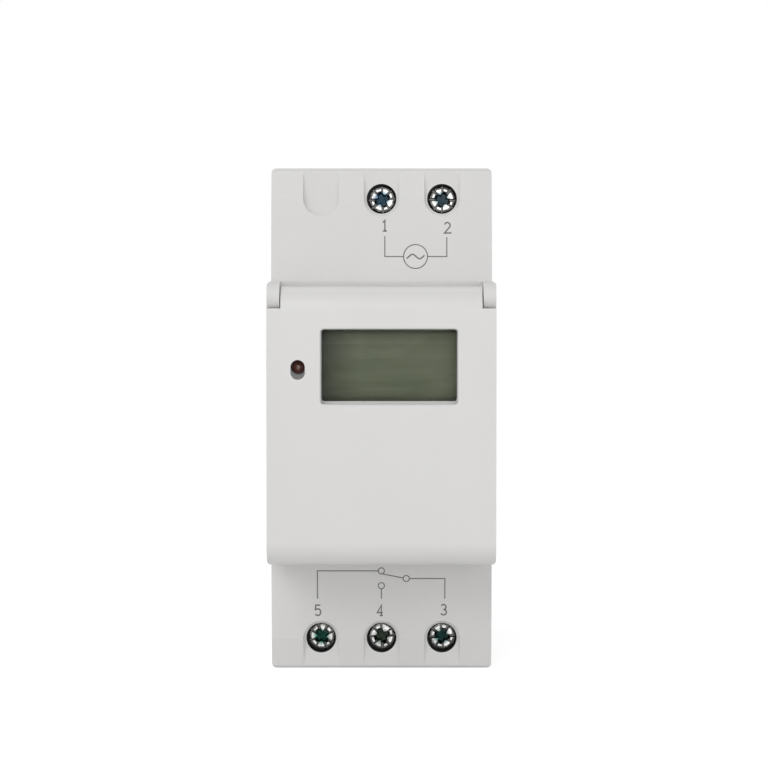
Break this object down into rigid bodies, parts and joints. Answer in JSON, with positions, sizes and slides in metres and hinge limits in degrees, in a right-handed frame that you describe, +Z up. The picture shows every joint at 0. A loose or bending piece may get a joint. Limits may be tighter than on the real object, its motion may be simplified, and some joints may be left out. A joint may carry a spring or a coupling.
{
  "type": "din rail timer",
  "caption": "Two-module digital weekly time switch for a 35 mm rail, with a hinged lid over its keys and display and sloping screw terminal shoulders.",
  "frame": {"origin": "centre of the rail seat: on the rail's centreline, in the plane that rests on the front of the rail", "axes": "+X right seen from the front, -Y to the front of the device, +Z up"},
  "size_m": [0.036, 0.065, 0.082],
  "materials": {
    "housing": "fine moulded grain",
    "lid": "smooth satin",
    "clip": "smooth moulded",
    "spring": "drawn wire",
    "lens": "clear moulded",
    "display_glass": "grey green display",
    "lamp_frame": "moulded",
    "zebra": "striped rubber",
    "led": "clear tinted",
    "switch_body": "moulded",
    "board": "solder mask",
    "chip": "moulded",
    "can": "drawn can",
    "battery": "brushed",
    "link": "moulded with tinned pins",
    "relay_plastic": "moulded",
    "iron": "plated iron",
    "winding": "enamelled wire",
    "contact": "stamped",
    "film_capacitor": "moulded box",
    "electrolytic": "sleeved can",
    "varistor": "dipped coating",
    "diode": "moulded with tinned legs",
    "screw": "zinc plated",
    "cage": "plated steel",
    "keys": "satin",
    "reset_key": "satin"
  },
  "bodies": {
    "housing": {"rear_shell": "housing", "front_shell": "housing", "clip_spring": "spring", "lcd_lens": "lens", "lcd_panel": "display_glass", "lcd_frame": "lamp_frame", "zebra_strips": "zebra", "status_led": "led", "control_pcb": "board", "tact_switches": "switch_body", "controller_chip": "chip", "clock_crystal": "can", "backup_battery": "battery", "board_link": "link", "power_pcb": "board", "relay_base": "relay_plastic", "relay_case": "relay_plastic", "relay_yoke": "iron", "relay_coil": "winding", "relay_contacts": "contact", "dropper_capacitor": "film_capacitor", "smoothing_capacitor": "electrolytic", "varistor": "varistor", "rectifier_diodes": "diode", "contact_bar_1": "contact", "contact_bar_2": "contact", "contact_bar_5": "contact", "contact_bar_4": "contact", "contact_bar_3": "contact"},
    "lid": {"lid": "lid"},
    "din_clip": {"din_clip": "clip"},
    "relay_armature": {"relay_armature": "iron"},
    "key_program": {"key_program": "keys"},
    "key_day": {"key_day": "keys"},
    "key_hour": {"key_hour": "keys"},
    "key_minute": {"key_minute": "keys"},
    "key_clock": {"key_clock": "keys"},
    "key_manual": {"key_manual": "keys"},
    "key_recall": {"key_recall": "keys"},
    "reset_button": {"reset_button": "reset_key"},
    "terminal_screw_1": {"terminal_screw_1": "screw"},
    "terminal_cage_1": {"terminal_cage_1": "cage"},
    "terminal_screw_2": {"terminal_screw_2": "screw"},
    "terminal_cage_2": {"terminal_cage_2": "cage"},
    "terminal_screw_5": {"terminal_screw_5": "screw"},
    "terminal_cage_5": {"terminal_cage_5": "cage"},
    "terminal_screw_4": {"terminal_screw_4": "screw"},
    "terminal_cage_4": {"terminal_cage_4": "cage"},
    "terminal_screw_3": {"terminal_screw_3": "screw"},
    "terminal_cage_3": {"terminal_cage_3": "cage"}
  },
  "joints": [
    {"name": "lid_hinge", "type": "hinge", "parent": "housing", "child": "lid", "pos_m": [0, -0.0565, 0.02], "axis": [-1, 0, 0], "range_deg": [0, 140]},
    {"name": "clip_slide", "type": "slide", "parent": "housing", "child": "din_clip", "axis": [0, 0, -1], "range_m": [0, 0.004], "stiffness_N_per_m": 2500, "springref_m": -0.002, "deforming": ["clip_spring"]},
    {"name": "armature_hinge", "type": "hinge", "parent": "housing", "child": "relay_armature", "pos_m": [-0.0083, -0.0162, -0.012], "axis": [0, 0, -1], "range_deg": [0, 3.5], "stiffness_Nm_per_rad": 0.02, "springref_deg": -5.73},
    {"name": "key_program_press", "type": "slide", "parent": "housing", "child": "key_program", "axis": [0, 1, 0], "range_m": [0, 0.0005], "stiffness_N_per_m": 1500, "springref_m": -0.0003},
    {"name": "key_day_press", "type": "slide", "parent": "housing", "child": "key_day", "axis": [0, 1, 0], "range_m": [0, 0.0005], "stiffness_N_per_m": 1500, "springref_m": -0.0003},
    {"name": "key_hour_press", "type": "slide", "parent": "housing", "child": "key_hour", "axis": [0, 1, 0], "range_m": [0, 0.0005], "stiffness_N_per_m": 1500, "springref_m": -0.0003},
    {"name": "key_minute_press", "type": "slide", "parent": "housing", "child": "key_minute", "axis": [0, 1, 0], "range_m": [0, 0.0005], "stiffness_N_per_m": 1500, "springref_m": -0.0003},
    {"name": "key_clock_press", "type": "slide", "parent": "housing", "child": "key_clock", "axis": [0, 1, 0], "range_m": [0, 0.0005], "stiffness_N_per_m": 1500, "springref_m": -0.0003},
    {"name": "key_manual_press", "type": "slide", "parent": "housing", "child": "key_manual", "axis": [0, 1, 0], "range_m": [0, 0.0005], "stiffness_N_per_m": 1500, "springref_m": -0.0003},
    {"name": "key_recall_press", "type": "slide", "parent": "housing", "child": "key_recall", "axis": [0, 1, 0], "range_m": [0, 0.0005], "stiffness_N_per_m": 1500, "springref_m": -0.0003},
    {"name": "reset_button_press", "type": "slide", "parent": "housing", "child": "reset_button", "axis": [0, 1, 0], "range_m": [0, 0.0005], "stiffness_N_per_m": 1500, "springref_m": -0.0003},
    {"name": "screw_1_turn", "type": "hinge", "parent": "housing", "child": "terminal_screw_1", "pos_m": [0, -0.0419, 0.036], "axis": [0, 1, 0], "range_deg": [0, 2522]},
    {"name": "cage_1_rise", "type": "slide", "parent": "housing", "child": "terminal_cage_1", "axis": [0, -1, 0], "range_m": [0, 0.0042]},
    {"name": "screw_2_turn", "type": "hinge", "parent": "housing", "child": "terminal_screw_2", "pos_m": [0.0099, -0.0419, 0.036], "axis": [0, 1, 0], "range_deg": [0, 2522]},
    {"name": "cage_2_rise", "type": "slide", "parent": "housing", "child": "terminal_cage_2", "axis": [0, -1, 0], "range_m": [0, 0.0042]},
    {"name": "screw_5_turn", "type": "hinge", "parent": "housing", "child": "terminal_screw_5", "pos_m": [-0.0099, -0.0419, -0.036], "axis": [0, 1, 0], "range_deg": [0, 2522]},
    {"name": "cage_5_rise", "type": "slide", "parent": "housing", "child": "terminal_cage_5", "axis": [0, -1, 0], "range_m": [0, 0.0042]},
    {"name": "screw_4_turn", "type": "hinge", "parent": "housing", "child": "terminal_screw_4", "pos_m": [0, -0.0419, -0.036], "axis": [0, 1, 0], "range_deg": [0, 2522]},
    {"name": "cage_4_rise", "type": "slide", "parent": "housing", "child": "terminal_cage_4", "axis": [0, -1, 0], "range_m": [0, 0.0042]},
    {"name": "screw_3_turn", "type": "hinge", "parent": "housing", "child": "terminal_screw_3", "pos_m": [0.0099, -0.0419, -0.036], "axis": [0, 1, 0], "range_deg": [0, 2522]},
    {"name": "cage_3_rise", "type": "slide", "parent": "housing", "child": "terminal_cage_3", "axis": [0, -1, 0], "range_m": [0, 0.0042]}
  ],
  "couplings": [
    {"joint": "screw_1_turn", "follows": "cage_1_rise", "rad_per_m": 10472},
    {"joint": "screw_2_turn", "follows": "cage_2_rise", "rad_per_m": 10472},
    {"joint": "screw_5_turn", "follows": "cage_5_rise", "rad_per_m": 10472},
    {"joint": "screw_4_turn", "follows": "cage_4_rise", "rad_per_m": 10472},
    {"joint": "screw_3_turn", "follows": "cage_3_rise", "rad_per_m": 10472}
  ]
}
